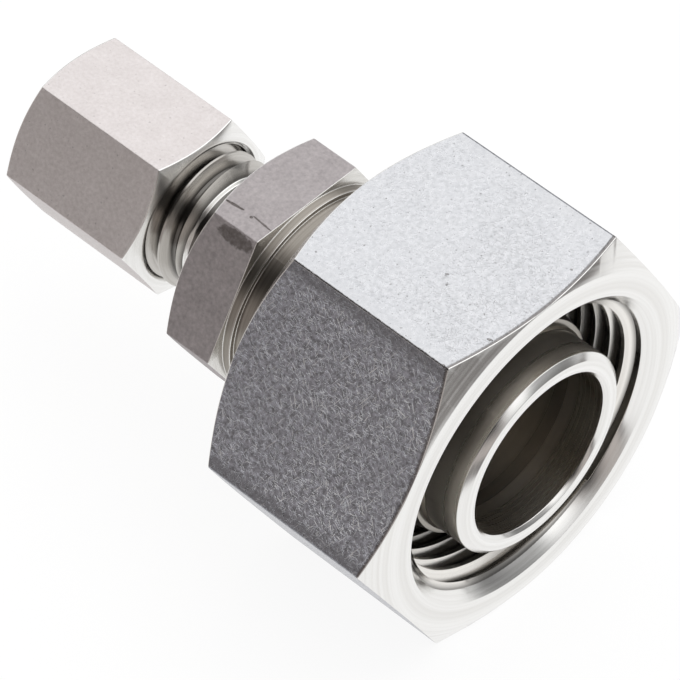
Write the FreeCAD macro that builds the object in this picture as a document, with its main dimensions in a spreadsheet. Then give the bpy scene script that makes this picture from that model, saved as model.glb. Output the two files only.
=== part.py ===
import FreeCAD, Part
import Sketcher
import os
import re

# Straight reducing compression fitting, lying on a flat of its large nut.
# The common axis runs along X. The tube stub and its nut are towards +X,
# the threaded end with the small nut is towards -X. The origin is on the
# ground under the middle of the whole length.

doc = FreeCAD.newDocument("straight_compression_fitting")
sheet = doc.addObject("Spreadsheet::Sheet", "sizes")

# Plain sizes in millimetres and degrees
SIZES = [
    ("stub_diameter", 18, "outside of the tube stub"),
    ("stub_wall", 1.75, "wall of the tube stub"),
    ("stub_length", 24.8, "tube stub in front of the hexagon"),
    ("stub_edge", 0.5, "chamfer at the stub's outer end"),
    ("stub_inner_edge", 0.3, "chamfer at the stub's bore"),
    ("collar_step", 0.4, "height of the turned collar between hexagon and stub"),
    ("collar_width", 0.8, "width of that collar"),
    ("bead_gap", 0.08, "between the large ring's edge and the bead that it pushed up on the stub"),
    ("bead_height", 0.2, "height of that bead"),
    ("bead_width", 0.5, "width of that bead"),
    ("bore_shoulder", 2, "the large bore's shoulder behind the hexagon's front face"),
    ("drill_half_angle", 59, "half angle of the drill's point"),
    ("hexagon_margin", 1, "hexagon across flats over the stub's diameter"),
    ("hexagon_width", 5.5, "width of the body's hexagon"),
    ("hexagon_turn", 0.5, "the hexagon's flat is turned from level by this angle"),
    ("hexagon_angle", 30, "slope of the turned chamfer behind the hexagon"),
    ("hexagon_step", 0.2, "the turned face behind the hexagon lies this far inside its flats"),
    ("male_length", 10, "threaded end behind the hexagon"),
    ("male_undercut_width", 2.9, "run-out groove next to the hexagon"),
    ("male_undercut_depth", 1.1, "depth of the run-out groove"),
    ("male_edge", 0.9, "chamfer at the threaded end"),
    ("thread_pitch", 1.5, "pitch of both threads"),
    ("thread_clearance", 0.1, "radial room of the small nut round the male thread"),
    ("run_out", 2.6, "width of the run-out behind a nut's thread"),
    ("small_tube", 6, "outside of the tube that the small end takes"),
    ("passage_step", 1, "the flow bore is this much inside the tube's outside"),
    ("socket_clearance", 0.05, "radial room for the tube in its socket"),
    ("socket_depth", 7, "depth of the tube socket"),
    ("cone_half_angle", 12, "half angle of the sealing cone"),
    ("cone_margin", 2.1, "mouth diameter of the sealing cone over the tube"),
    ("seat_gap", 0.3, "room between rings, cone and nut shoulders at rest"),
    ("nut_hole_clearance", 0.1, "radial room of a nut's hole round its tube"),
    ("ring_clearance", 0.03, "radial room of a cutting ring round its tube"),
    ("edge_spacing", 1.6, "between the two cutting edges of a ring"),
    ("edge_relief", 0.25, "depth of the groove between the cutting edges"),
    ("large_thread_margin", 8, "large thread over the stub's diameter"),
    ("large_nut_margin", 6, "large nut across flats over its thread"),
    ("large_nut_length", 18.4, "length of the large nut"),
    ("large_nut_land", 3.55, "length of the large nut's tube hole"),
    ("large_nut_turn", 0, "the large nut lies level on its flat"),
    ("large_nut_front_angle", 24, "slope of the large nut's front chamfer"),
    ("large_nut_front_step", 0.05, "its front face lies this far inside its flats"),
    ("large_nut_back_angle", 33, "slope of the large nut's back chamfer"),
    ("large_nut_back_step", 0.05, "its back face lies this far inside its flats"),
    ("large_mouth_margin", 1.7, "mouth chamfer of the large nut over its thread"),
    ("large_relief_margin", 0.4, "run-out of the large nut over its thread"),
    ("large_ring_length", 10, "length of the large cutting ring"),
    ("large_ring_front_margin", 1.2, "front diameter of the large ring over its tube"),
    ("large_ring_collar_margin", 4.4, "collar diameter of the large ring over its tube"),
    ("large_ring_back_margin", 2, "back diameter of the large ring over its tube"),
    ("large_ring_setback", 4.3, "the large ring's front edge behind the stub's end"),
    ("small_thread_margin", 6, "small thread over the tube"),
    ("small_nut_margin", 2, "small nut across flats over its thread"),
    ("small_nut_length", 14.5, "length of the small nut"),
    ("small_nut_land", 2.7, "length of the small nut's tube hole"),
    ("small_nut_turn", -1.6, "the small nut's flat is turned from level by this angle"),
    ("small_nut_front_angle", 25, "slope of the small nut's front chamfer"),
    ("small_nut_front_step", 0.4, "its front face lies this far inside its flats"),
    ("small_nut_back_angle", 25, "slope of the small nut's back chamfer"),
    ("small_nut_back_step", 0.55, "its back face lies this far inside its flats"),
    ("small_mouth_margin", 0.8, "mouth chamfer of the small nut over its thread"),
    ("small_relief_margin", 0.6, "run-out of the small nut over its thread"),
    ("small_ring_length", 9.5, "length of the small cutting ring"),
    ("small_ring_front_margin", 0.9, "front diameter of the small ring over its tube"),
    ("small_ring_collar_margin", 3.5, "collar diameter of the small ring over its tube"),
    ("small_ring_back_margin", 1.5, "back diameter of the small ring over its tube"),
]

# Sizes that follow from the plain ones. Tube, threads, nuts, rings and cone of an end share its tube.
DERIVED = [
    ("stub_bore", "=stub_diameter - 2 * stub_wall"),
    ("hexagon_flats", "=stub_diameter + hexagon_margin"),
    ("stub_start", "=male_length + hexagon_width"),
    ("body_length", "=stub_start + stub_length"),
    ("large_tube", "=stub_diameter"),
    ("large_thread", "=stub_diameter + large_thread_margin"),
    ("large_core", "=large_thread - 2 * 0.54127 * thread_pitch"),
    ("large_mouth", "=large_thread + large_mouth_margin"),
    ("large_relief", "=large_thread + large_relief_margin"),
    ("large_nut_flats", "=large_thread + large_nut_margin"),
    ("large_ring_front", "=large_tube + large_ring_front_margin"),
    ("large_ring_collar", "=large_tube + large_ring_collar_margin"),
    ("large_ring_back", "=large_tube + large_ring_back_margin"),
    ("small_thread", "=small_tube + small_thread_margin"),
    ("small_core", "=small_thread + 2 * thread_clearance"),
    ("small_mouth", "=small_thread + small_mouth_margin"),
    ("small_relief", "=small_thread + small_relief_margin"),
    ("small_nut_flats", "=small_thread + small_nut_margin"),
    ("small_ring_front", "=small_tube + small_ring_front_margin"),
    ("small_ring_collar", "=small_tube + small_ring_collar_margin"),
    ("small_ring_back", "=small_tube + small_ring_back_margin"),
    ("passage_diameter", "=small_tube - 2 * passage_step"),
    ("cone_mouth", "=small_tube + cone_margin"),
    ("cone_slope", "=tan(cone_half_angle * 1 deg)"),
    ("socket_radius", "=small_tube / 2 + socket_clearance"),
    ("cone_depth", "=(cone_mouth / 2 - socket_radius) / cone_slope"),
    ("small_ring_entry", "=(cone_mouth - small_ring_front) / 2 / cone_slope - seat_gap"),
    ("small_ring_place", "=small_ring_entry - small_ring_length"),
    ("small_nut_hole", "=small_tube / 2 + nut_hole_clearance"),
    ("small_nut_place",
     "=small_ring_place - small_ring_back / 2 + small_nut_hole - small_nut_land - seat_gap"),
    ("large_ring_place", "=body_length - large_ring_setback - large_ring_length"),
    ("large_nut_hole", "=large_tube / 2 + nut_hole_clearance"),
    ("large_nut_place",
     "=large_ring_place - large_ring_back / 2 + large_nut_hole - large_nut_land - seat_gap"),
    ("axis_height", "=large_nut_flats / 2"),
    ("middle", "=(small_nut_place + body_length) / 2"),
]

row = 1
for alias, number, meaning in SIZES:
    sheet.set("A" + str(row), meaning)
    sheet.set("B" + str(row), str(number))
    sheet.setAlias("B" + str(row), alias)
    row = row + 1
doc.recompute()
for alias, formula in DERIVED:
    sheet.set("B" + str(row), formula)
    sheet.setAlias("B" + str(row), alias)
    doc.recompute()
    row = row + 1


NAMES = {entry[0] for entry in SIZES + DERIVED}


def spelled(formula):
    """A formula of size names, with each name spelled as the sheet's own."""
    return re.sub("[a-z_]+", lambda word: ("sizes." if word.group() in NAMES else "") + word.group(), formula)


def worked_out(formula):
    """The present value of a formula, used to start a sketch near its final shape."""
    value = sheet.evalExpression(spelled(formula))
    return float(getattr(value, "Value", value))


def plane(body, role):
    """One of the body's own origin planes or axes."""
    for feature in body.Origin.OriginFeatures:
        if feature.Role == role:
            return feature
    raise ValueError(role)


def piece(name, label, place):
    """An empty body on the common axis, set at its place along it."""
    body = doc.addObject("PartDesign::Body", name)
    body.Label = label
    body.setExpression(".Placement.Base.x", spelled(place + " - middle"))
    body.setExpression(".Placement.Base.z", spelled("axis_height"))
    return body


def outline(body, name, corners):
    """A closed outline in the plane of the axis; each corner is an (along, radius) pair of formulas."""
    sketch = body.newObject("Sketcher::SketchObject", name)
    sketch.AttachmentSupport = [(plane(body, "XZ_Plane"), "")]
    sketch.MapMode = "FlatFace"
    points = [FreeCAD.Vector(worked_out(along), worked_out(radius), 0) for along, radius in corners]
    count = len(points)
    for index in range(count):
        sketch.addGeometry(Part.LineSegment(points[index], points[(index + 1) % count]), False)
    for index in range(count):
        sketch.addConstraint(Sketcher.Constraint("Coincident", index, 2, (index + 1) % count, 1))
    for index, (along, radius) in enumerate(corners):
        for kind, formula, value in (("X", along, points[index].x), ("Y", radius, points[index].y)):
            number = sketch.addConstraint(
                Sketcher.Constraint("Distance" + kind, -1, 1, index, 1, value))
            sketch.renameConstraint(number, "corner" + kind + str(index))
            sketch.setExpression("Constraints.corner" + kind + str(index), spelled(formula))
    return sketch


def turned(body, kind, name, corners):
    """A revolved solid or groove about the common axis."""
    sketch = outline(body, name + "_outline", corners)
    feature = body.newObject("PartDesign::" + kind, name)
    feature.Profile = sketch
    feature.ReferenceAxis = (sketch, ["H_Axis"])
    feature.Angle = 360
    doc.recompute()
    return feature


def hexagon_bar(body, name, flats, start, length, turn):
    """A hexagonal bar from start along the axis, its top flat turned a little from level."""
    sketch = body.newObject("Sketcher::SketchObject", name + "_section")
    sketch.AttachmentSupport = [(plane(body, "YZ_Plane"), "")]
    sketch.MapMode = "FlatFace"
    sketch.setExpression(".AttachmentOffset.Base.z", spelled(start))
    sketch.setExpression(".AttachmentOffset.Rotation.Angle", spelled(turn))
    half = worked_out(flats) / 2
    side = 2 * half * 0.57735
    corner = [(side, 0), (side / 2, half), (-side / 2, half), (-side, 0), (-side / 2, -half), (side / 2, -half)]
    points = [FreeCAD.Vector(across, up, 0) for across, up in corner]
    for index in range(6):
        sketch.addGeometry(Part.LineSegment(points[index], points[(index + 1) % 6]), False)
    for index in range(6):
        sketch.addConstraint(Sketcher.Constraint("Coincident", index, 2, (index + 1) % 6, 1))
    for index in range(1, 6):
        sketch.addConstraint(Sketcher.Constraint("Equal", 0, index))
    sketch.addConstraint(Sketcher.Constraint("Horizontal", 1))
    sketch.addConstraint(Sketcher.Constraint("Horizontal", 4))
    sketch.addConstraint(Sketcher.Constraint("PointOnObject", 0, 1, -1))
    sketch.addConstraint(Sketcher.Constraint("Symmetric", 0, 1, 3, 1, -1, 1))
    number = sketch.addConstraint(Sketcher.Constraint("DistanceY", 4, 1, 1, 1, 2 * half))
    sketch.renameConstraint(number, "flats")
    sketch.setExpression("Constraints.flats", spelled(flats))
    pad = body.newObject("PartDesign::Pad", name)
    pad.Profile = sketch
    pad.setExpression("Length", spelled(length))
    doc.recompute()
    return pad


def must_cut(feature, before):
    """Stops if a groove took nothing away."""
    if feature.Shape.Volume > before - 0.001:
        raise ValueError(feature.Name + " took nothing away")


def chamfered(body, name, flats, step, angle, face, outward):
    """Turns a cone on the corners of a hexagon at one face; outward is the way the face looks."""
    before = body.Shape.Volume
    inner = "(" + flats + " / 2 - " + step + ")"
    outer = "0.7 * " + flats
    depth = "(" + outer + " - " + inner + ") * tan(" + angle + " * 1 deg)"
    inwards = " - " if outward > 0 else " + "
    clear = face + (" + 1" if outward > 0 else " - 1")
    cut = turned(body, "Groove", name, [
        (clear, inner),
        (face, inner),
        (face + inwards + depth, outer),
        (clear, outer),
    ])
    must_cut(cut, before)


def fitting_body():
    """The turned body: threaded end, hexagon and tube stub in one piece."""
    body = piece("fitting_body", "fitting body", "0")
    hexagon_bar(body, "body_hexagon", "hexagon_flats", "male_length", "hexagon_width", "hexagon_turn")
    chamfered(body, "hexagon_chamfer", "hexagon_flats", "hexagon_step", "hexagon_angle", "male_length", -1)
    stub = "stub_diameter / 2"
    collar = stub + " + collar_step"
    bead = "body_length - large_ring_setback + bead_gap"
    turned(body, "Revolution", "tube_stub", [
        ("stub_start - 1", "0"),
        ("stub_start - 1", collar),
        ("stub_start + collar_width", collar),
        ("stub_start + collar_width", stub),
        (bead, stub),
        (bead + " + bead_width / 3", stub + " + bead_height"),
        (bead + " + bead_width", stub),
        ("body_length - stub_edge", stub),
        ("body_length", "stub_diameter / 2 - stub_edge"),
        ("body_length", "0"),
    ])
    major = "small_thread / 2"
    groove = major + " - male_undercut_depth"
    groove_end = "male_length - male_undercut_width"
    turned(body, "Revolution", "threaded_end", [
        ("0", "0"),
        ("0", major + " - male_edge"),
        ("male_edge", major),
        (groove_end + " - male_undercut_depth", major),
        (groove_end, groove),
        ("male_length + 1", groove),
        ("male_length + 1", "0"),
    ])
    before = body.Shape.Volume
    shoulder = "stub_start - bore_shoulder"
    point = "(stub_bore - passage_diameter) / 2 / tan(drill_half_angle * 1 deg)"
    bores = turned(body, "Groove", "bores", [
        ("-1", "0"),
        ("-1", "cone_mouth / 2"),
        ("0", "cone_mouth / 2"),
        ("cone_depth", "socket_radius"),
        ("socket_depth", "socket_radius"),
        ("socket_depth", "passage_diameter / 2"),
        (shoulder + " - " + point, "passage_diameter / 2"),
        (shoulder, "stub_bore / 2"),
        ("body_length - stub_inner_edge", "stub_bore / 2"),
        ("body_length", "stub_bore / 2 + stub_inner_edge"),
        ("body_length + 1", "stub_bore / 2 + stub_inner_edge"),
        ("body_length + 1", "0"),
    ])
    must_cut(bores, before)
    return body


def union_nut(end):
    """A hexagon union nut: tube hole, 45 degree shoulder, run-out, thread core and chamfered mouth."""
    nut = end + "_nut_"
    body = piece(end + "_union_nut", end + " union nut", nut + "place")
    flats = nut + "flats"
    length = nut + "length"
    hexagon_bar(body, nut + "hexagon", flats, "0", length, nut + "turn")
    chamfered(body, nut + "back_chamfer", flats, nut + "back_step", nut + "back_angle", "0", -1)
    chamfered(body, nut + "front_chamfer", flats, nut + "front_step", nut + "front_angle", length, 1)
    hole = nut + "hole"
    core = end + "_core / 2"
    mouth = end + "_mouth / 2"
    relief = end + "_relief / 2"
    seat = end + "_ring_collar / 2 + seat_gap"
    shoulder = nut + "land + " + seat + " - " + hole
    before = body.Shape.Volume
    bore = turned(body, "Groove", nut + "bore", [
        ("-1", "0"),
        ("-1", hole),
        (nut + "land", hole),
        (shoulder, seat),
        (shoulder, relief),
        (shoulder + " + run_out", relief),
        (shoulder + " + run_out + " + relief + " - " + core, core),
        (length + " - " + mouth + " + " + core, core),
        (length, mouth),
        (length + " + 1", mouth),
        (length + " + 1", "0"),
    ])
    must_cut(bore, before)
    return body


def cutting_ring(end):
    """A cutting ring: 45 degree back, collar, long sealing cone and two inner cutting edges."""
    ring = end + "_ring_"
    body = piece(end + "_cutting_ring", end + " cutting ring", ring + "place")
    length = ring + "length"
    tube = end + "_tube / 2"
    hole = tube + " + ring_clearance"
    turned(body, "Revolution", ring + "blank", [
        ("0", hole),
        ("0", ring + "back / 2"),
        ("(" + ring + "collar - " + ring + "back) / 2", ring + "collar / 2"),
        (length + " - (" + ring + "collar - " + ring + "front) / 2 / cone_slope", ring + "collar / 2"),
        (length, ring + "front / 2"),
        (length, hole),
    ])
    before = body.Shape.Volume
    relief = turned(body, "Groove", ring + "edge_relief", [
        (length + " - edge_spacing", tube),
        (length + " - edge_spacing", hole + " + edge_relief"),
        (length + " - edge_spacing / 3", tube),
    ])
    must_cut(relief, before)
    return body


pieces = [
    fitting_body(),
    union_nut("large"),
    cutting_ring("large"),
    union_nut("small"),
    cutting_ring("small"),
]
doc.recompute()

for thing in doc.Objects:
    if "Invalid" in thing.State or "Error" in thing.State:
        raise ValueError(thing.Name + " did not build")
os.makedirs("parts", exist_ok=True)
for body in pieces:
    shape = body.Shape
    if shape.isNull() or not shape.isValid():
        raise ValueError(body.Name + " has no valid shape")
    box = shape.BoundBox
    print(body.Name, "solids", len(shape.Solids), "faces", len(shape.Faces), "volume", round(shape.Volume, 1),
          "x", round(box.XMin, 3), round(box.XMax, 3), "z", round(box.ZMin, 3), round(box.ZMax, 3))
    shape.exportStep("parts/" + body.Name + ".step")
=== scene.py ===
# %% [markdown]
# A steel reducing fitting seen from close by: a turned body with a tube stub, two hexagon
# union nuts and the two cutting rings that grip the tubes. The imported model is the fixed
# frame, in metres. Here its five solids get what a solid model leaves out: cut threads,
# softened edges and the finish that each tool left on the steel.

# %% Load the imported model
import math

import bmesh
import bpy
import numpy as np
from mathutils import Matrix, Vector


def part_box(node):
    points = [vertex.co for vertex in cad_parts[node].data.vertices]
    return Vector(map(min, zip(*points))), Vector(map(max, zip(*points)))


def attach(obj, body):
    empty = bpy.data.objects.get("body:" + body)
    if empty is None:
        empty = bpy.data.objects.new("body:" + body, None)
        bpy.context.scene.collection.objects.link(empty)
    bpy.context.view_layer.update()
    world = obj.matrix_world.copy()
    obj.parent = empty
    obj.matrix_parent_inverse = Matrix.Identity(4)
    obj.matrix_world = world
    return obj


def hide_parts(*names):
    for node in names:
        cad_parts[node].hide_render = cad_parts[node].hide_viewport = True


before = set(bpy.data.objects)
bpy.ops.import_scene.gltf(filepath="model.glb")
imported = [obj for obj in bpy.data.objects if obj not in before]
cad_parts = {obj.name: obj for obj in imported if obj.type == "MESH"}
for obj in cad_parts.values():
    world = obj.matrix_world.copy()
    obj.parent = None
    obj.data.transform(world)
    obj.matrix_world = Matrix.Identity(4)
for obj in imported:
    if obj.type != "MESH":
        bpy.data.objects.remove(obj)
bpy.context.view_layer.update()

# %% [markdown]
# The drawing's sizes are in millimetres, along the common axis and out from it. The axis
# runs along X, half the large nut's width above the ground, because the fitting lies on
# one flat of that nut. Only the last step of each mesh turns them into metres.

# %% The common axis and the thread
MM = 0.001
AXIS_HEIGHT = 16.0
PITCH = 1.5
OUTER_DEPTH, INNER_DEPTH = 0.61343 * PITCH, 0.54127 * PITCH


def slope(degrees):
    """How far a chamfer runs along the axis for each millimetre that it rises."""
    return math.tan(math.radians(degrees))


print("axis", AXIS_HEIGHT, "mm above the ground, thread pitch", PITCH, "mm")

# %% [markdown]
# Steel that was cut has no perfectly sharp edge: deburring leaves a rounding of about a
# tenth of a millimetre, and that rounding is the thin bright line along every edge. So
# each outline is softened first: every corner becomes a short curve. A Bevel modifier
# could do it later, but the chamfer's edge on a hexagon is a curve that runs out to
# nothing at the middle of each flat, and there a modifier stops or folds over.

# %% Soften the corners of an outline
TURNED, MILLED, THREADED, BORED, NECK = range(5)
EDGE_STEPS = 3


def softened(corners, rounding):
    """Points of a closed outline with rounded corners, and the finish of the run after each."""
    count = len(corners)
    width = max(np.size(value) for corner in corners for value in corner[:2])
    places = [np.stack([np.broadcast_to(along, width), np.broadcast_to(out, width)], axis=1)
              for along, out, _ in corners]
    points, finishes = [], []
    for index, (_, _, finish) in enumerate(corners):
        here = places[index]
        back = places[index - 1] - here
        ahead = places[(index + 1) % count] - here
        back_length = np.linalg.norm(back, axis=1, keepdims=True)
        ahead_length = np.linalg.norm(ahead, axis=1, keepdims=True)
        reach = np.minimum(rounding, 0.4 * np.minimum(back_length, ahead_length))
        start = here + back / back_length * reach
        end = here + ahead / ahead_length * reach
        for step in range(EDGE_STEPS + 1):
            share = step / EDGE_STEPS
            points.append((1 - share) ** 2 * start + 2 * share * (1 - share) * here + share ** 2 * end)
            finishes.append(finish if step == EDGE_STEPS else TURNED)
    return np.array(points), finishes


print("an edge gets", EDGE_STEPS, "steps")

# %% [markdown]
# A hexagon nut is a slice of hexagonal bar whose ends were chamfered on a lathe. Around
# the axis the bar's surface is nearer at the middle of a flat and farther at a corner,
# so the distance is a function of the angle. A boolean of a bar and a cone would give
# the same body with ragged edges; the function gives one clean column of points for
# each angle, and the chamfer's curved edge comes out exact.

# %% Directions round a hexagonal bar
PER_FLAT = 52
PER_CORNER = 6


def around_hexagon(flats, turn, corner_rounding):
    """Angles round the axis, the bar's surface at each, and the number of the flat at each."""
    half = flats / 2
    flat_end = math.atan((half - corner_rounding) * math.tan(math.radians(30)) / half)
    centre = (half - corner_rounding) / math.cos(math.radians(30))
    angles, reach, numbers = [], [], []
    for flat in range(6):
        middle = math.radians(90 + turn + 60 * flat)
        for offset in np.linspace(-flat_end, flat_end, PER_FLAT):
            angles.append(middle + offset)
            reach.append(half / math.cos(offset))
            numbers.append(flat)
        gap = math.radians(60) - 2 * flat_end
        for step in range(1, PER_CORNER):
            offset = gap * (step / PER_CORNER - 0.5)
            angles.append(middle + math.radians(30) + offset)
            side = centre * math.sin(offset)
            reach.append(centre * math.cos(offset) + math.sqrt(corner_rounding ** 2 - side ** 2))
            numbers.append(flat)
    return np.array(angles), np.array(reach), np.array(numbers)


print("a hexagon gets", 6 * (PER_FLAT + PER_CORNER - 1), "columns")

# %% [markdown]
# One mesh routine serves all five pieces: an outline in the plane of the axis is carried
# round in columns. Each corner of a face also keeps its place on its own flat: how far
# along, how far across, and which flat. The scratches need that, because they lie in the
# flat, whatever way it faces.

# %% Carry an outline round the axis
FLAT_STEP = 40.0


def carried_round(name, points, finishes, angles, numbers, flat_middles):
    """A closed mesh in metres with one material number for each run of the outline."""
    runs, columns = points.shape[0], len(angles)
    along = np.broadcast_to(points[:, :, 0], (runs, columns))
    reach = np.broadcast_to(points[:, :, 1], (runs, columns))
    spots = np.stack([along, reach * np.cos(angles), reach * np.sin(angles) + AXIS_HEIGHT], axis=2) * MM
    row, column = np.meshgrid(np.arange(runs), np.arange(columns), indexing="ij")
    next_row, next_column = (row + 1) % runs, (column + 1) % columns
    loops = np.stack([row * columns + column, next_row * columns + column,
                      next_row * columns + next_column, row * columns + next_column], axis=2).reshape(-1, 4)
    mesh = bpy.data.meshes.new(name)
    mesh.from_pydata(spots.reshape(-1, 3), [], loops)
    mesh.polygons.foreach_set("material_index", np.repeat(finishes, columns).astype(np.int32))
    flat = numbers[np.repeat(column.reshape(-1), 4)]
    corner = loops.reshape(-1)
    turn = angles[corner % columns] - flat_middles[flat]
    across = reach.reshape(-1)[corner] * np.sin(turn)
    place = np.stack([along.reshape(-1)[corner], across, flat * FLAT_STEP], axis=1)
    mesh.attributes.new("flat_place", "FLOAT_VECTOR", "CORNER").data.foreach_set(
        "vector", place.astype(np.float32).reshape(-1))
    return mesh


def hexagon_mesh(name, corners_at, flats, turn, corner_rounding, rounding):
    """The mesh of a piece with a hexagon; corners_at gives its outline for the bar's surface."""
    angles, reach, numbers = around_hexagon(flats, turn, corner_rounding)
    points, finishes = softened(corners_at(reach), rounding)
    middles = np.radians(90 + turn + 60 * np.arange(6))
    return carried_round(name, points, finishes, angles, numbers, middles)


ROUND_COLUMNS = 256


def round_mesh(name, corners, rounding):
    """The mesh of a piece that is turned all over."""
    angles = np.linspace(0, 2 * math.pi, ROUND_COLUMNS, endpoint=False)
    points, finishes = softened(corners, rounding)
    numbers = np.zeros(ROUND_COLUMNS, int)
    return carried_round(name, points, finishes, angles, numbers, np.zeros(1))


print("meshes are carried round with", ROUND_COLUMNS, "columns where nothing is hexagonal")

# %% [markdown]
# The body starts as a hexagonal bar. One end is turned down for the male thread with its
# nose chamfer and run-out groove, the other for the tube stub, which keeps a small collar
# at the hexagon and the bead that its cutting ring pushed up. The thread's zone is turned
# to the root here, and the ridge comes later.

# %% The turned body
BODY_BACK, HEX_BACK, HEX_FRONT, STUB_END = -14.836, -4.836, 0.664, 25.464
HEX_FLATS, HEX_TURN = 19.0, 0.5
HEX_CHAMFER_RADIUS, HEX_CHAMFER_SLOPE = 9.3, slope(30)
MALE_RADIUS = 6.0
MALE_ROOT = MALE_RADIUS - OUTER_DEPTH
GROOVE_RADIUS = 4.9
GROOVE_START = -7.736
MALE_THREAD_END = GROOVE_START - MALE_ROOT + GROOVE_RADIUS
NOSE_RADIUS = 5.1
CONE_RADIUS, SOCKET_RADIUS, PASSAGE_RADIUS = 4.05, 3.05, 2.0
CONE_END, SOCKET_STOP, DRILL_END, BORE_END = -10.132, -7.836, -4.491, -1.336
STUB_RADIUS, STUB_BORE = 9.0, 7.25
OUTER_BEVEL, INNER_BEVEL = 0.5, 0.3
COLLAR_WIDTH, COLLAR_HEIGHT = 0.8, 0.4
BEAD_START, BEAD_HEIGHT, BEAD_WIDTH = 21.244, 0.2, 0.5


def body_corners(bar):
    """The body's outline for one distance of the bar's surface, or for many."""
    chamfer_end = HEX_BACK + (bar - HEX_CHAMFER_RADIUS) * HEX_CHAMFER_SLOPE
    return [
        (BODY_BACK, CONE_RADIUS, TURNED),
        (BODY_BACK, MALE_ROOT, THREADED),
        (MALE_THREAD_END, MALE_ROOT, TURNED),
        (GROOVE_START, GROOVE_RADIUS, THREADED),
        (HEX_BACK, GROOVE_RADIUS, TURNED),
        (HEX_BACK, HEX_CHAMFER_RADIUS, TURNED),
        (chamfer_end, bar, MILLED),
        (HEX_FRONT, bar, TURNED),
        (HEX_FRONT, STUB_RADIUS + COLLAR_HEIGHT, NECK),
        (HEX_FRONT + COLLAR_WIDTH, STUB_RADIUS + COLLAR_HEIGHT, NECK),
        (HEX_FRONT + COLLAR_WIDTH, STUB_RADIUS, NECK),
        (BEAD_START, STUB_RADIUS, BORED),
        (BEAD_START + BEAD_WIDTH / 3, STUB_RADIUS + BEAD_HEIGHT, BORED),
        (BEAD_START + BEAD_WIDTH, STUB_RADIUS, BORED),
        (STUB_END - OUTER_BEVEL, STUB_RADIUS, TURNED),
        (STUB_END, STUB_RADIUS - OUTER_BEVEL, TURNED),
        (STUB_END, STUB_BORE + INNER_BEVEL, TURNED),
        (STUB_END - INNER_BEVEL, STUB_BORE, BORED),
        (BORE_END, STUB_BORE, BORED),
        (DRILL_END, PASSAGE_RADIUS, BORED),
        (SOCKET_STOP, PASSAGE_RADIUS, BORED),
        (SOCKET_STOP, SOCKET_RADIUS, BORED),
        (CONE_END, SOCKET_RADIUS, TURNED),
    ]


body_mesh = hexagon_mesh("fitting_body_dressed", body_corners, HEX_FLATS, HEX_TURN,
                         corner_rounding=0.15, rounding=0.05)
print("body", len(body_mesh.polygons), "faces")

# %% [markdown]
# Both union nuts follow one outline: tube hole, 45 degree shoulder that presses on the
# ring, run-out groove, thread and chamfered mouth. Outside, a chamfer was turned on each
# end of the hexagon. So each nut is a list of sizes for one function. The bore is drawn at
# the thread's root, and the ridge comes later.

# %% The union nuts
LARGE_NUT = {
    "flats": 32.0, "turn": 0, "back": 6.414, "length": 18.4,
    "back_face": 15.95, "front_face": 15.95, "back_slope": slope(33), "front_slope": slope(24),
    "mouth": 13.85, "root": 13.0, "run_out": 14.964, "run_out_radius": 13.2,
    "seat": 12.364, "seat_radius": 11.5, "land": 9.964, "hole": 9.1,
    "corner_rounding": 0.25, "rounding": 0.06,
}
SMALL_NUT = {
    "flats": 14.0, "turn": -1.6, "back": -25.464, "length": 14.5,
    "back_face": 6.45, "front_face": 6.6, "back_slope": slope(25), "front_slope": slope(25),
    "mouth": 6.4, "root": 6.1, "run_out": -18.214, "run_out_radius": 6.3,
    "seat": -20.814, "seat_radius": 5.05, "land": -22.764, "hole": 3.1,
    "corner_rounding": 0.12, "rounding": 0.08,
}
for nut in (LARGE_NUT, SMALL_NUT):
    nut["front"] = nut["back"] + nut["length"]
    nut["thread_start"] = nut["run_out"] + nut["run_out_radius"] - nut["root"]
    nut["thread_end"] = nut["front"] - nut["mouth"] + nut["root"]


def nut_corners(nut):
    """A function from the bar's surface to a nut's outline."""
    def corners_at(bar):
        return [
            (nut["back"], nut["hole"], TURNED),
            (nut["back"], nut["back_face"], TURNED),
            (nut["back"] + (bar - nut["back_face"]) * nut["back_slope"], bar, MILLED),
            (nut["front"] - (bar - nut["front_face"]) * nut["front_slope"], bar, TURNED),
            (nut["front"], nut["front_face"], TURNED),
            (nut["front"], nut["mouth"], TURNED),
            (nut["thread_end"], nut["root"], THREADED),
            (nut["thread_start"], nut["root"], THREADED),
            (nut["run_out"], nut["run_out_radius"], THREADED),
            (nut["seat"], nut["run_out_radius"], THREADED),
            (nut["seat"], nut["seat_radius"], THREADED),
            (nut["land"], nut["hole"], THREADED),
        ]

    return corners_at


def nut_mesh(name, nut):
    """The mesh of a union nut, from its sizes."""
    return hexagon_mesh(name, nut_corners(nut), nut["flats"], nut["turn"],
                        nut["corner_rounding"], nut["rounding"])


large_nut_mesh = nut_mesh("large_union_nut_dressed", LARGE_NUT)
small_nut_mesh = nut_mesh("small_union_nut_dressed", SMALL_NUT)
print("nuts", len(large_nut_mesh.polygons), "and", len(small_nut_mesh.polygons), "faces")

# %% [markdown]
# A cutting ring is a hardened sleeve. Its 45 degree back sits in the nut, its long cone
# in the body of the next piece, and two sharp inner edges bite into the tube. The ring is
# only seen deep in the bores, so it needs its form and little more; its dark colour is
# partly painted shade for that depth.

# %% The cutting rings
def ring_corners(back, front, hole, back_radius, collar, front_radius):
    """The ring's outline: back, collar, cone, front edge, and the groove between the two edges."""
    rise = collar - back_radius
    cone = (collar - front_radius) / slope(12)
    edge, groove, depth = 0.6, 1.6, 0.22
    return [
        (back, hole, TURNED),
        (back, back_radius, TURNED),
        (back + rise, collar, TURNED),
        (front - cone, collar, TURNED),
        (front, front_radius, TURNED),
        (front, hole, TURNED),
        (front - edge, hole, TURNED),
        (front - groove, hole + depth, TURNED),
        (front - groove, hole, TURNED),
    ]


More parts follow.
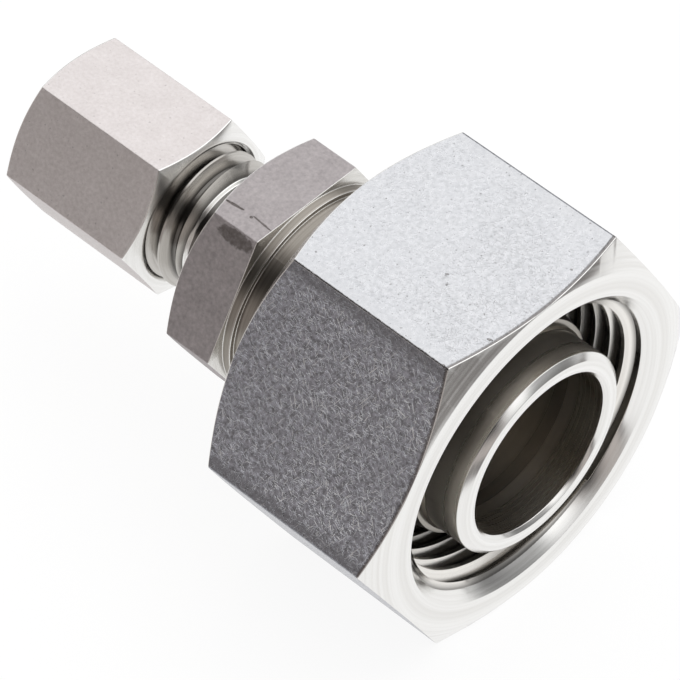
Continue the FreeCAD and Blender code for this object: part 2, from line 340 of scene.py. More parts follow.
large_ring = ring_corners(
    back=11.164, front=21.164, hole=9.03, back_radius=10, collar=11.2, front_radius=9.6)
small_ring = ring_corners(
    back=-21.814, front=-12.314, hole=3.03, back_radius=3.75, collar=4.75, front_radius=3.45)
large_ring_mesh = round_mesh("large_cutting_ring_dressed", large_ring, rounding=0.05)
small_ring_mesh = round_mesh("small_cutting_ring_dressed", small_ring, rounding=0.05)
print("rings", len(large_ring_mesh.polygons), "and", len(small_ring_mesh.polygons), "faces")

# %% [markdown]
# A thread is one ridge that winds round a cylinder, so it follows a path: the case for
# Geometry Nodes. A spiral is the path, a four-sided section the ridge, and Curve to Mesh
# sweeps one along the other. The same tree serves the outer thread and, with the ridge
# turned inwards, the nuts. Its sizes are named inputs.

# %% Helpers for node trees
def add(tree, kind, **settings):
    """A node of a tree with its plain settings."""
    node = tree.nodes.new(kind)
    for name, value in settings.items():
        setattr(node, name, value)
    return node


def maths(tree, operation, *values):
    """Math nodes that join two or more sockets or numbers in turn; returns the result."""
    result = values[0]
    for value in values[1:]:
        node = add(tree, "ShaderNodeMath", operation=operation)
        for socket, given in zip(node.inputs, (result, value)):
            if isinstance(given, (int, float)):
                socket.default_value = given
            else:
                tree.links.new(given, socket)
        result = node.outputs[0]
    return result


def distance(tree, first, second):
    """How far a point is out, from its two coordinates."""
    squares = [maths(tree, "MULTIPLY", value, value) for value in (first, second)]
    return maths(tree, "SQRT", maths(tree, "ADD", *squares), 0.0)


def parts(tree, vector):
    """The three coordinates of a vector."""
    node = add(tree, "ShaderNodeSeparateXYZ")
    tree.links.new(vector, node.inputs[0])
    return node.outputs


def vector_of(tree, *values):
    """A vector from up to three coordinates; None leaves one at zero."""
    node = add(tree, "ShaderNodeCombineXYZ")
    for value, socket in zip(values, node.inputs):
        if value is not None:
            tree.links.new(value, socket)
    return node.outputs[0]


THREAD_INPUTS = {
    "Start": 0.0, "Pitch": PITCH, "Turns": 5.0, "Wall Radius": 6.0, "Ridge Height": 0.9,
    "Foot Width": 1.3, "Crest Width": 0.2, "Sink": 0.15, "Outwards": 1.0,
    "Back Cone": 0.0, "Front Cone": 10.0, "Axis Height": AXIS_HEIGHT,
}
TURN_POINTS = 180
print("a thread has", len(THREAD_INPUTS), "sizes and", TURN_POINTS, "points a turn")

# %% [markdown]
# The path stands upright here, as the spiral is made, and is laid along the fitting's axis
# at the end. The section is a trapezium whose foot lies a little inside the blank, so that
# no gap opens between the ridge and the round of the cylinder.

# %% The ridge's path and section
def ridge_path(tree, size):
    """A spiral with the thread's pitch, whose section stays level."""
    path = add(tree, "GeometryNodeCurveSpiral")
    path.inputs["Reverse"].default_value = True
    for given, socket in (("Points per Turn", "Resolution"), ("Turns", "Rotations"),
                          ("Wall Radius", "Start Radius"), ("Wall Radius", "End Radius")):
        tree.links.new(size[given], path.inputs[socket])
    tree.links.new(maths(tree, "MULTIPLY", size["Pitch"], size["Turns"]), path.inputs["Height"])
    level = add(tree, "GeometryNodeSetCurveNormal", mode="Z_UP")
    tree.links.new(path.outputs[0], level.inputs[0])
    return level.outputs[0]


def ridge_section(tree, size):
    """The four-sided section, from the sunk foot to the crest."""
    section = add(tree, "GeometryNodeCurvePrimitiveQuadrilateral", mode="POINTS")
    foot = maths(tree, "MULTIPLY", size["Foot Width"], 0.5)
    crest = maths(tree, "MULTIPLY", size["Crest Width"], 0.5)
    top = maths(tree, "MULTIPLY", size["Ridge Height"], size["Outwards"])
    bottom = maths(tree, "MULTIPLY", size["Sink"], -1, size["Outwards"])
    spots = [(bottom, maths(tree, "MULTIPLY", foot, -1)), (top, maths(tree, "MULTIPLY", crest, -1)),
             (top, crest), (bottom, foot)]
    for number, (out, side) in enumerate(spots, 1):
        tree.links.new(vector_of(tree, out, side), section.inputs[f"Point {number}"])
    return section.outputs[0]


print("the section has four points")

# %% [markdown]
# The lathe chamfered the blank before the thread was cut, so the ridge may stand no higher
# than the two 45 degree cones at its ends: Set Position lowers whatever does. The height
# that a point has above the root is stored with it, because the colour is painted darker
# down in the groove, as shade.

# %% Keep the ridge inside the cones
UNDER_CONE = 0.005


def under_cones(tree, size, ridge):
    """The ridge lowered to the cones at its ends, with its height stored as crest."""
    side, depth, rise = parts(tree, add(tree, "GeometryNodeInputPosition").outputs[0])
    radius = distance(tree, side, depth)
    along = maths(tree, "ADD", rise, size["Start"])
    above = maths(tree, "SUBTRACT", radius, size["Wall Radius"])
    height = maths(tree, "MULTIPLY", above, size["Outwards"])
    room = maths(tree, "MINIMUM", maths(tree, "SUBTRACT", along, size["Back Cone"]),
                 maths(tree, "SUBTRACT", size["Front Cone"], along))
    room = maths(tree, "SUBTRACT", room, UNDER_CONE)
    kept = maths(tree, "ADD", maths(tree, "MINIMUM", maths(tree, "MAXIMUM", height, 0.0), room),
                 maths(tree, "MINIMUM", height, 0.0))
    reach = maths(tree, "ADD", size["Wall Radius"], maths(tree, "MULTIPLY", kept, size["Outwards"]))
    scale = maths(tree, "DIVIDE", reach, radius)
    near, far = (maths(tree, "MULTIPLY", value, scale) for value in (side, depth))
    lowered = vector_of(tree, near, far, rise)
    link = tree.links.new
    trim = add(tree, "GeometryNodeSetPosition")
    link(ridge, trim.inputs["Geometry"])
    link(lowered, trim.inputs["Position"])
    share = add(tree, "GeometryNodeStoreNamedAttribute", data_type="FLOAT", domain="POINT")
    share.inputs["Name"].default_value = "crest"
    link(trim.outputs[0], share.inputs["Geometry"])
    link(maths(tree, "DIVIDE", height, size["Ridge Height"]), share.inputs["Value"])
    return share.outputs[0]


print("a ridge stays", UNDER_CONE, "mm under its cones")

# %% [markdown]
# The tree puts these parts together and lays the result along the axis, in metres. An
# object with the tree as a modifier is only the mould: each thread is taken out of it as a
# plain mesh, and the mould is thrown away.

# %% The tree, and a thread taken from it
def thread_tree(material):
    """The tree that winds a ridge round the X axis, sizes in millimetres, result in metres."""
    tree = bpy.data.node_groups.new("thread_ridge", "GeometryNodeTree")
    tree.interface.new_socket("Geometry", in_out="OUTPUT", socket_type="NodeSocketGeometry")
    for name, number in THREAD_INPUTS.items():
        given = tree.interface.new_socket(name, in_out="INPUT", socket_type="NodeSocketFloat")
        given.default_value = number
    fineness = tree.interface.new_socket("Points per Turn", in_out="INPUT", socket_type="NodeSocketInt")
    fineness.default_value = TURN_POINTS
    size = add(tree, "NodeGroupInput").outputs
    link = tree.links.new
    sweep = add(tree, "GeometryNodeCurveToMesh")
    sweep.inputs["Fill Caps"].default_value = True
    link(ridge_path(tree, size), sweep.inputs["Curve"])
    link(ridge_section(tree, size), sweep.inputs["Profile Curve"])
    place = vector_of(tree, maths(tree, "MULTIPLY", size["Start"], MM), None,
                      maths(tree, "MULTIPLY", size["Axis Height"], MM))
    lay = add(tree, "GeometryNodeTransform")
    lay.inputs["Rotation"].default_value = (0, math.radians(90), 0)
    lay.inputs["Scale"].default_value = (MM, MM, MM)
    link(under_cones(tree, size, sweep.outputs[0]), lay.inputs["Geometry"])
    link(place, lay.inputs["Translation"])
    real = add(tree, "GeometryNodeRealizeInstances")
    paint = add(tree, "GeometryNodeSetMaterial")
    paint.inputs["Material"].default_value = material
    link(lay.outputs[0], real.inputs[0])
    link(real.outputs[0], paint.inputs["Geometry"])
    link(paint.outputs[0], add(tree, "NodeGroupOutput").inputs[0])
    return tree


def wound(tree, name, sizes):
    """The ridge as a plain mesh, for the sizes given."""
    holder = bpy.data.objects.new(name, bpy.data.meshes.new(name))
    bpy.context.scene.collection.objects.link(holder)
    modifier = holder.modifiers.new("thread", "NODES")
    modifier.node_group = tree
    for item in tree.interface.items_tree:
        if item.in_out == "INPUT" and item.name in sizes:
            modifier[item.identifier] = sizes[item.name]
    graph = bpy.context.evaluated_depsgraph_get()
    mesh = bpy.data.meshes.new_from_object(holder.evaluated_get(graph))
    bpy.data.objects.remove(holder)
    out = [math.hypot(v.co.y, v.co.z - AXIS_HEIGHT * MM) / MM for v in mesh.vertices]
    along = [v.co.x / MM for v in mesh.vertices]
    print(name, len(mesh.polygons), "faces, radius", round(min(out), 3), "to", round(max(out), 3), "mm,",
          "along", round(min(along), 2), "to", round(max(along), 2))
    return mesh


# %% [markdown]
# Bare steel has no paint, so its finish is the way that it scatters light: how rough it
# is, how the marks of the tools bend the surface, and a colour close to grey. Each finish
# is a small tree of nodes whose patterns are noise in the piece's own coordinates, so the
# pattern moves with the piece. A few helpers keep the trees short.

# %% Helpers for materials
def blank_material(name):
    """A node material with an empty metal shader; returns material, tree and shader."""
    material = bpy.data.materials.new(name)
    material.use_nodes = True
    shader = material.node_tree.nodes["Principled BSDF"]
    shader.inputs["Metallic"].default_value = 1.0
    return material, material.node_tree, shader


def ranged(tree, value, low, high, bottom=0.0, top=1.0, smooth=False):
    """Value between low and high spread over bottom to top, held at both ends."""
    node = add(tree, "ShaderNodeMapRange", interpolation_type="SMOOTHSTEP" if smooth else "LINEAR")
    tree.links.new(value, node.inputs["Value"])
    for name, number in (("From Min", low), ("From Max", high), ("To Min", bottom), ("To Max", top)):
        node.inputs[name].default_value = number
    return node.outputs[0]


def noise(tree, vector, scale, detail=2.0, roughness=0.5):
    """A noise pattern's value; vector is in millimetres and scale is in waves a millimetre."""
    node = add(tree, "ShaderNodeTexNoise", noise_dimensions="3D")
    tree.links.new(vector, node.inputs["Vector"])
    for name, number in (("Scale", scale), ("Detail", detail), ("Roughness", roughness)):
        node.inputs[name].default_value = number
    return node.outputs[0]


def mixed(tree, share, first, second):
    """Two colours blended by share; colours are tuples or sockets."""
    node = add(tree, "ShaderNodeMix", data_type="RGBA")
    tree.links.new(share, node.inputs[0])
    for socket, value in ((node.inputs[6], first), (node.inputs[7], second)):
        if isinstance(value, tuple):
            socket.default_value = (*value, 1.0)
        else:
            tree.links.new(value, socket)
    return node.outputs[2]


def relief(tree, height, depth):
    """A bump from a height pattern; depth is in millimetres."""
    node = add(tree, "ShaderNodeBump")
    node.inputs["Strength"].default_value = 1.0
    node.inputs["Distance"].default_value = depth * MM
    tree.links.new(height, node.inputs["Height"])
    return node.outputs[0]


def in_millimetres(tree):
    """Object coordinates in millimetres from the common axis."""
    place = add(tree, "ShaderNodeTexCoord")
    centred = add(tree, "ShaderNodeMapping", vector_type="POINT")
    centred.inputs["Location"].default_value = (0, 0, -AXIS_HEIGHT)
    centred.inputs["Scale"].default_value = (1 / MM, 1 / MM, 1 / MM)
    tree.links.new(place.outputs["Object"], centred.inputs["Vector"])
    return centred.outputs[0]


print("patterns start from the axis,", AXIS_HEIGHT, "mm up")

# %% [markdown]
# The first kind of finish is what a lathe leaves: fine grooves that run round the axis,
# whether the surface is a cylinder, a cone or an end face, so their pattern depends only
# on the place along the axis and the distance from it. Anisotropy stretches a highlight
# across the grooves, which is the bright fan on the end faces. In a thread the root gets
# a darker colour than the flanks, painted shade down in the groove, and the ridge carries
# its own height for that. The outer thread and the neck beside it get darker colours than
# the nuts' bores, painted shade between a hexagon and a nut, and the rings' dark colour is
# partly painted shade deep in the bores.

# %% The turned finishes
GROOVE_WAVES, BAND_WAVES = 3.2, 0.9
ROOT_SHADE = 0.4


def turned_finish(name, dark, light, rough, groove_depth, paint_root_shade=False):
    """Lathe-cut steel with fine grooves round the axis; a thread gets painted shade down in its groove."""
    material, tree, shader = blank_material(name)
    link = tree.links.new
    along, across, up = parts(tree, in_millimetres(tree))
    ring_place = vector_of(tree, along, distance(tree, across, up))
    grooves = noise(tree, ring_place, GROOVE_WAVES, 1.0, 0.6)
    bands = noise(tree, ring_place, BAND_WAVES, 1.0)
    steel = mixed(tree, ranged(tree, grooves, 0.3, 0.7), dark, light)
    # Painted shade: the root of a thread takes a darker colour than its flanks.
    if paint_root_shade:
        crest = add(tree, "ShaderNodeAttribute", attribute_type="GEOMETRY", attribute_name="crest")
        root = tuple(ROOT_SHADE * value for value in dark)
        steel = mixed(tree, ranged(tree, crest.outputs["Fac"], 0.05, 0.4), root, steel)
    link(steel, shader.inputs["Base Color"])
    rough_grooves = ranged(tree, grooves, 0.3, 0.7, *rough)
    rough_bands = ranged(tree, bands, 0.35, 0.65, 0.0, 0.06)
    link(maths(tree, "ADD", rough_grooves, rough_bands), shader.inputs["Roughness"])
    shader.inputs["Anisotropic"].default_value = 0.5
    shader.inputs["Anisotropic Rotation"].default_value = 0.25
    round_axis = add(tree, "ShaderNodeTangent", direction_type="RADIAL", axis="X")
    link(round_axis.outputs[0], shader.inputs["Tangent"])
    link(relief(tree, grooves, groove_depth), shader.inputs["Normal"])
    return material


turned_steel = turned_finish("turned_steel", (0.80, 0.79, 0.77), (0.90, 0.895, 0.88), (0.12, 0.22), 0.002)
thread_steel = turned_finish(
    "thread_steel", (0.76, 0.735, 0.70), (0.86, 0.84, 0.80), (0.12, 0.20), 0.002, paint_root_shade=True)
# The outer thread's darker colour is painted shade, between the small nut and the body's hexagon.
screw_steel_painted_shade = turned_finish(
    "screw_steel_painted_shade", (0.46, 0.44, 0.415), (0.58, 0.56, 0.53), (0.12, 0.20), 0.002, paint_root_shade=True)
bore_steel = turned_finish("bore_steel", (0.64, 0.60, 0.54), (0.67, 0.63, 0.57), (0.24, 0.28), 0.0003)
# The neck's dark colour is painted shade, in the gap between the body's hexagon and the large nut and
# inside that nut.
neck_steel_painted_shade = turned_finish("neck_steel_painted_shade", (0.21, 0.19, 0.165), (0.46, 0.43, 0.39), (0.26, 0.38), 0.008)
# The rings' dark colour is partly painted shade, deep in the bores.
ring_steel_painted_shade = turned_finish("ring_steel_painted_shade", (0.34, 0.32, 0.29), (0.38, 0.36, 0.33), (0.28, 0.34), 0.001)
turned_finishes = [turned_steel, thread_steel, screw_steel_painted_shade, bore_steel, neck_steel_painted_shade, ring_steel_painted_shade]
print("turned finishes", [steel.name for steel in turned_finishes])

# %% [markdown]
# The second kind is the skin of the drawn bar on the flats. It is matt and finely pitted,
# and the large nut went through a tumbling drum, so it carries short scratches in all
# directions. They are pale, slightly raised strokes with rougher steel: where a flat
# mirrors something pale they hardly show, and where it mirrors the dark side of the room
# they glint. On the large nut all flats but the top one take a dark skin colour, which is
# painted shade, and the top one takes little of it and fewer strokes.

# %% Marks that lie in a flat
STROKE_EDGE = (0.665, 0.73)


def flat_coordinates(tree):
    """The place on a flat, in millimetres: along, across, and a number for the flat."""
    node = add(tree, "ShaderNodeAttribute", attribute_type="GEOMETRY", attribute_name="flat_place")
    return node.outputs["Vector"]


def moved(tree, place, middle, angle, size):
    """The flat's coordinates seen from a mark: centred, turned and in units of its size."""
    shift = add(tree, "ShaderNodeVectorMath", operation="SUBTRACT")
    tree.links.new(place, shift.inputs[0])
    shift.inputs[1].default_value = middle
    turn = add(tree, "ShaderNodeVectorRotate", rotation_type="Z_AXIS")
    turn.inputs["Angle"].default_value = math.radians(angle)
    tree.links.new(shift.outputs[0], turn.inputs["Vector"])
    stretch = add(tree, "ShaderNodeVectorMath", operation="DIVIDE")
    tree.links.new(turn.outputs[0], stretch.inputs[0])
    stretch.inputs[1].default_value = size
    return stretch.outputs[0]


def streaks(tree, place, angle, length, width, seed):
    """Short strokes along one direction of a flat, 1 on a stroke and 0 beside it."""
    strokes = moved(tree, place, (seed * 7.3, seed * 3.1, 0.0), angle, (length, width, 1.0))
    return ranged(tree, noise(tree, strokes, 1.0, 1.0, 0.4), *STROKE_EDGE)


def gouge(tree, place, flat, middle, angle, size):
    """One mark: 1 inside an ellipse with a ragged edge on one flat, 0 outside."""
    spot = moved(tree, place, (*middle, flat * FLAT_STEP), angle, (*size, 1.0))
    length = add(tree, "ShaderNodeVectorMath", operation="LENGTH")
    tree.links.new(spot, length.inputs[0])
    fray = ranged(tree, noise(tree, place, 2.2, 3.0), 0.3, 0.7, -0.16, 0.16)
    return ranged(tree, maths(tree, "ADD", length.outputs["Value"], fray), 1.1, 0.9)


print("strokes begin where their noise is over", STROKE_EDGE[0])

# %% [markdown]
# Each layer of scratches is one noise pattern, stretched along its own direction. Eight
# layers with different angles cross each other, as in the drum. Loose strokes of mesh
# could do it too, but there would be thousands. A mark that the fitting really has, such
# as the dent on the body's edge and the line scribed next to it, is listed one by one.

# %% Scratches and marks
STROKES = [
    (12, 0.9, 0.09), (48, 0.8, 0.09), (78, 0.9, 0.1), (112, 0.8, 0.09),
    (146, 1.0, 0.09), (172, 0.8, 0.1), (62, 1.9, 0.12), (128, 1.6, 0.12),
]


def scratches(tree, place, along, calm, side_shade_and_wear):
    """All layers of strokes, with fewer where the flat is calm and towards its back."""
    layers = [streaks(tree, place, *stroke, seed) for seed, stroke in enumerate(STROKES, 1)]
    patches = ranged(tree, noise(tree, place, 0.16, 1.0), 0.35, 0.6, 0.6, 1.0)
    frontwards = ranged(tree, along, 9.0, 21.0, 0.6, 1.0)
    return maths(tree, "MULTIPLY", maths(tree, "MAXIMUM", *layers), calm, side_shade_and_wear, patches, frontwards)


def dark_marks(tree, place, grain, marks):
    """The listed marks, each a little uneven."""
    found = []
    for flat, middle, angle, size, strength in marks:
        uneven = ranged(tree, grain, 0.35, 0.65, strength, 0.7 * strength)
        found.append(maths(tree, "MULTIPLY", gouge(tree, place, flat, middle, angle, size), uneven))
    return found


def edge_shade(tree, along, aside, half, front, face, run):
    """A painted shade line on a flat, where the turned chamfer in front of it begins."""
    bar = distance(tree, aside, half)
    edge = maths(tree, "SUBTRACT", front + face * run, maths(tree, "MULTIPLY", bar, run))
    return ranged(tree, maths(tree, "SUBTRACT", edge, along), 0.34, 0.2, 0.0, 0.75)


print(len(STROKES), "layers of scratches")

# %% [markdown]
# The finish of a flat adds its layers up: clouds and grain of the drawn skin, a darker
# skin colour between the pale strokes, which is painted shade on the side flats, then pits
# and marks, and on the large nut a painted shade line where the front chamfer begins. The
# same patterns give the height for the bump and make the steel rougher, so that a scratch
# is one thing in colour, relief and shine.

# %% The finish of the flats
SCRATCH_COLOUR = (0.97, 0.97, 0.98)
PIT_COLOUR = (0.36, 0.34, 0.34)
MARK_AND_SHADE_COLOUR = (0.16, 0.14, 0.13)


def bar_finish(name, look, marks=(), chamfer=None):
    """Matt steel with pits, clouds, scratches and marks, as look describes."""
    material, tree, shader = blank_material(name)
    link = tree.links.new
    place = flat_coordinates(tree)
    along, across, flat = parts(tree, place)
    aside = maths(tree, "ABSOLUTE", across, 0.0)

    cloud = noise(tree, place, 0.45, 5.0, 0.65)
    grain = noise(tree, place, look["grain_waves"], 2.5, 0.62)
    pits = ranged(tree, noise(tree, place, 3.4, 2.0, 0.5), 0.33, 0.24)
    calm = ranged(tree, aside, look["calm_from"] - 0.5, look["calm_from"] + 0.2, 1.0, look["calm"])
    # Low on the top flat and full on the others: fewer strokes on top, and painted shade on the side flats.
    side_shade_and_wear = ranged(tree, flat, 0.2 * FLAT_STEP, 0.8 * FLAT_STEP, 0.16, 1.0)
    scratch = scratches(tree, place, along, calm, side_shade_and_wear)

    tone = maths(tree, "ADD", ranged(tree, cloud, 0.3, 0.7, 0.0, 0.3),
                 ranged(tree, grain, 0.32, 0.68, 0.0, 0.7))
    steel = mixed(tree, tone, look["dark"], look["light"])
    # Painted shade: the side flats take the dark skin colour, the top flat little of it.
    if "skin" in look:
        haze = maths(tree, "MULTIPLY", calm, ranged(tree, grain, 0.36, 0.64))
        tumbled = mixed(tree, haze, look["skin"], look["haze"])
        steel = mixed(tree, maths(tree, "MULTIPLY", side_shade_and_wear, 0.8), steel, tumbled)
        steel = mixed(tree, scratch, steel, SCRATCH_COLOUR)
    steel = mixed(tree, maths(tree, "MULTIPLY", pits, 0.6), steel, PIT_COLOUR)
    height = maths(tree, "ADD", grain, maths(tree, "MULTIPLY", pits, -0.5),
                   maths(tree, "MULTIPLY", scratch, look["stroke_height"]))
    spots = dark_marks(tree, place, grain, marks)
    if chamfer:
        # The chamfer's edge gets a painted shade line, in the marks' dark colour.
        spots.append(edge_shade(tree, along, aside, *chamfer))
    if spots:
        dark = maths(tree, "MAXIMUM", *spots)
        steel = mixed(tree, dark, steel, MARK_AND_SHADE_COLOUR)
        height = maths(tree, "ADD", height, maths(tree, "MULTIPLY", dark, -3.0))
    link(steel, shader.inputs["Base Color"])
    rough = maths(tree, "ADD", ranged(tree, grain, 0.3, 0.7, *look["rough"]),
                  maths(tree, "MULTIPLY", scratch, look["stroke_rough"]))
    link(rough, shader.inputs["Roughness"])
    link(relief(tree, height, look["depth"]), shader.inputs["Normal"])
    return material


print("pits", PIT_COLOUR, "marks", MARK_AND_SHADE_COLOUR)

# %% [markdown]
# The three hexagons came from different bars. The large nut's is bluish and tumbled, the
# small nut's is pale and even, and the body's is the darkest and the dullest. A mark is a
# flat, a middle along and across, an angle, half sizes and a strength.

# %% The three hexagons
BODY_MARKS = [
    (1, (-1.3, -4.72), 0, (1.8, 0.66), 0.8),
    (0, (-3.35, 3.86), 6, (0.85, 0.12), 1.0),
    (0, (-0.4, 3.8), -5, (1.1, 0.08), 0.9),
    (0, (-1.5, 3.9), 0, (0.14, 0.12), 0.9),
]
LARGE_MARKS = [
    (0, (23.2, 9.3), 0, (0.18, 0.16), 0.8),
    (0, (23.9, 5.0), 20, (0.22, 0.1), 0.8),
    (0, (17.2, 2.4), 30, (0.14, 0.09), 0.6),
    (0, (17.9, 3.2), 0, (0.08, 0.08), 0.6),
    (0, (23.5, -4.4), 0, (0.1, 0.08), 0.7),
]
# The skin colour below is the painted shade of the large nut's side flats.
TUMBLED_LOOK = {
    "dark": (0.62, 0.63, 0.655), "light": (0.75, 0.755, 0.77),
    "skin": (0.11, 0.113, 0.134), "haze": (0.40, 0.412, 0.485),
    "rough": (0.18, 0.30), "grain_waves": 2.4, "depth": 0.045,
    "stroke_rough": 0.25, "stroke_height": 1.6, "calm_from": 8.3, "calm": 0.3,
}
DRAWN_LOOK = {
    "dark": (0.70, 0.655, 0.645), "light": (0.90, 0.86, 0.855),
    "rough": (0.50, 0.66), "grain_waves": 3.0, "depth": 0.014,
    "stroke_rough": 0.1, "stroke_height": 0.2, "calm_from": 3.4, "calm": 0.6,
}
BAR_LOOK = {
    "dark": (0.40, 0.37, 0.375), "light": (0.68, 0.64, 0.645),
    "rough": (0.60, 0.76), "grain_waves": 2.6, "depth": 0.02,
    "stroke_rough": 0.1, "stroke_height": 0.2, "calm_from": 4.8, "calm": 0.6,
}
LARGE_CHAMFER = (LARGE_NUT["flats"] / 2, LARGE_NUT["front"], LARGE_NUT["front_face"],
                 LARGE_NUT["front_slope"])
tumbled_steel = bar_finish("tumbled_steel", TUMBLED_LOOK, LARGE_MARKS, LARGE_CHAMFER)
drawn_steel = bar_finish("drawn_steel", DRAWN_LOOK)
bar_steel = bar_finish("bar_steel", BAR_LOOK, BODY_MARKS)
print("finishes of flats", tumbled_steel.name, drawn_steel.name, bar_steel.name)

# %% [markdown]
# Now the ridges. The outer thread's ridge narrows from most of the pitch at its root to an
# eighth of it at the crest, with 60 degrees between the flanks. A nut's ridge is the
# groove that is left, so it starts half a pitch further on, and it is a little slimmer,
# which is the play that lets a nut turn. The large nut's ridge is free and has its full
# width.

# %% Wind the three threads
ridge_tree = thread_tree(thread_steel)
FLANK = 2 * slope(30)
PLAY = 0.12
MALE_START = -13.8375


def thread_ridge(name, start, turns, root, height, crest, cones, sink=0.15, outwards=1.0):
    """A thread's ridge with 60 degrees between its flanks."""
    return wound(ridge_tree, name, {
        "Start": start, "Turns": turns, "Wall Radius": root, "Ridge Height": height,
        "Foot Width": crest + (height + sink) * FLANK, "Crest Width": crest, "Sink": sink,
        "Outwards": outwards, "Back Cone": cones[0], "Front Cone": cones[1]})


male_ridge = thread_ridge(
    "male_ridge", start=MALE_START, turns=3.9, root=MALE_ROOT, height=MALE_RADIUS - MALE_ROOT,
    crest=PITCH / 8, cones=(BODY_BACK + MALE_ROOT - NOSE_RADIUS, MALE_THREAD_END))
large_ridge = thread_ridge(
    "large_ridge", start=14.9, turns=6.1, root=LARGE_NUT["root"], height=INNER_DEPTH,
    crest=PITCH / 4, cones=(LARGE_NUT["thread_start"], LARGE_NUT["thread_end"]), outwards=-1.0)
small_height = SMALL_NUT["root"] - MALE_RADIUS + INNER_DEPTH - PLAY / 2
small_ridge = thread_ridge(
    "small_ridge", start=MALE_START + PITCH / 2 - 3 * PITCH, turns=3.95, root=SMALL_NUT["root"],
    height=small_height, crest=PITCH / 4 - PLAY, sink=0.1,
    cones=(SMALL_NUT["thread_start"], SMALL_NUT["thread_end"]), outwards=-1.0)

# %% [markdown]
# Each ridge is joined to its blank, the normals are pointed outwards, and the surfaces are
# shaded smooth up to 30 degrees. Normals weighted by face area keep the flats flat next to
# their rounded edges.

# %% Join, shade and mount the pieces
SMOOTH_ANGLE = math.radians(30)


def finished(mesh, materials, ridge=None):
    """An object from a blank and its ridge, shaded and with its materials."""
    shape = bmesh.new()
    shape.from_mesh(mesh)
    if ridge is not None:
        ridge.polygons.foreach_set("material_index", np.full(len(ridge.polygons), THREADED, np.int32))
        shape.from_mesh(ridge)
    bmesh.ops.recalc_face_normals(shape, faces=shape.faces[:])
    shape.to_mesh(mesh)
    shape.free()
    for material in materials:
        mesh.materials.append(material)
    mesh.polygons.foreach_set("use_smooth", np.ones(len(mesh.polygons), bool))
    mesh.set_sharp_from_angle(angle=SMOOTH_ANGLE)
    piece = bpy.data.objects.new(mesh.name, mesh)
    bpy.context.scene.collection.objects.link(piece)
    weighted = piece.modifiers.new("weighted", "WEIGHTED_NORMAL")
    weighted.keep_sharp = True
    return piece


def mount(piece, node, body):
    """Puts a piece in the place of its solid, on the solid's body."""
    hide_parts(node)
    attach(piece, body)
    corners = np.array(piece.bound_box)
    low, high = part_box(node)
    drift = max(np.abs(corners.min(axis=0) - low).max(), np.abs(corners.max(axis=0) - high).max())
    print(piece.name, len(piece.data.polygons), "faces,",
          "box within", round(drift / MM, 3), "mm of its solid")


def finishes_with(flats, thread):
    """The finishes in the order of their numbers, with the given ones on the flats and the thread."""
    return [turned_steel, flats, thread, bore_steel, neck_steel_painted_shade]


body_piece = finished(body_mesh, finishes_with(bar_steel, screw_steel_painted_shade), male_ridge)
large_nut_piece = finished(large_nut_mesh, finishes_with(tumbled_steel, thread_steel), large_ridge)
small_nut_piece = finished(small_nut_mesh, finishes_with(drawn_steel, thread_steel), small_ridge)
mount(body_piece, "fitting_body", "fitting")
mount(large_nut_piece, "large_union_nut", "large_nut")
mount(small_nut_piece, "small_union_nut", "small_nut")
mount(finished(large_ring_mesh, [ring_steel_painted_shade]), "large_cutting_ring", "large_ring")
mount(finished(small_ring_mesh, [ring_steel_painted_shade]), "small_cutting_ring", "small_ring")

# %% [markdown]
# The ground is a pale sweep, plain white to the camera, and the share of it that takes
# light keeps the fitting's soft shadow. In what the steel mirrors it is a white sheet on a
# duller table: close by it shines up from below, and farther off it is dim. Polished metal
# is mostly what it mirrors, so that edge makes the sharp change on the undersides.

# %% The floor
SHEET_BACK, SHEET_FRONT, SHEET_NEAR = (-0.085, -0.065), (0.110, 0.090), (-0.056, -0.044)
SHEET_GLOW, WHITE_GLOW = 1.08, 1.08
TABLE_GLOW, TABLE_DIM = 0.48, 0.15
TABLE_TINT = (1.0, 0.92, 0.89)
SEEN_SHARE = 0.85


def either(tree, share, first, second):
    """A node that blends two shader nodes by share."""
    node = add(tree, "ShaderNodeMixShader")
    for value, socket in zip((share, first.outputs[0], second.outputs[0]), node.inputs):
        tree.links.new(value, socket)
    return node


def floor_material():
    """White to the camera, a lit sheet on a table to the steel, and a faint shadow on both."""
    material = bpy.data.materials.new("pale_floor")
    material.use_nodes = True
    tree = material.node_tree
    tree.nodes.clear()
    link = tree.links.new
    front, away, _ = parts(tree, add(tree, "ShaderNodeTexCoord").outputs["Object"])
    sheet = maths(tree, "MINIMUM", ranged(tree, front, *SHEET_BACK), ranged(tree, front, *SHEET_FRONT),
                  ranged(tree, away, *SHEET_NEAR))
    table = ranged(tree, front, 0.0, 0.12, TABLE_GLOW, TABLE_DIM)
    shine = maths(tree, "MAXIMUM", maths(tree, "MULTIPLY", sheet, SHEET_GLOW), table)
    ray = add(tree, "ShaderNodeLightPath")
    to_camera = maths(tree, "MAXIMUM", ray.outputs["Is Camera Ray"], ray.outputs["Is Transmission Ray"])
    seen = maths(tree, "MAXIMUM", to_camera, ray.outputs["Is Glossy Ray"])
    glow = add(tree, "ShaderNodeEmission")
    link(mixed(tree, sheet, TABLE_TINT, (1.0, 1.0, 1.0)), glow.inputs["Color"])
    link(shine, glow.inputs["Strength"])
    white = add(tree, "ShaderNodeEmission")
    white.inputs["Strength"].default_value = WHITE_GLOW
    bright = either(tree, to_camera, glow, white)
    plain = add(tree, "ShaderNodeBsdfDiffuse")
    plain.inputs["Color"].default_value = (0.8, 0.8, 0.8, 1)
    blend = either(tree, maths(tree, "MULTIPLY", seen, SEEN_SHARE), plain, bright)
    link(blend.outputs[0], add(tree, "ShaderNodeOutputMaterial").inputs[0])
    return material


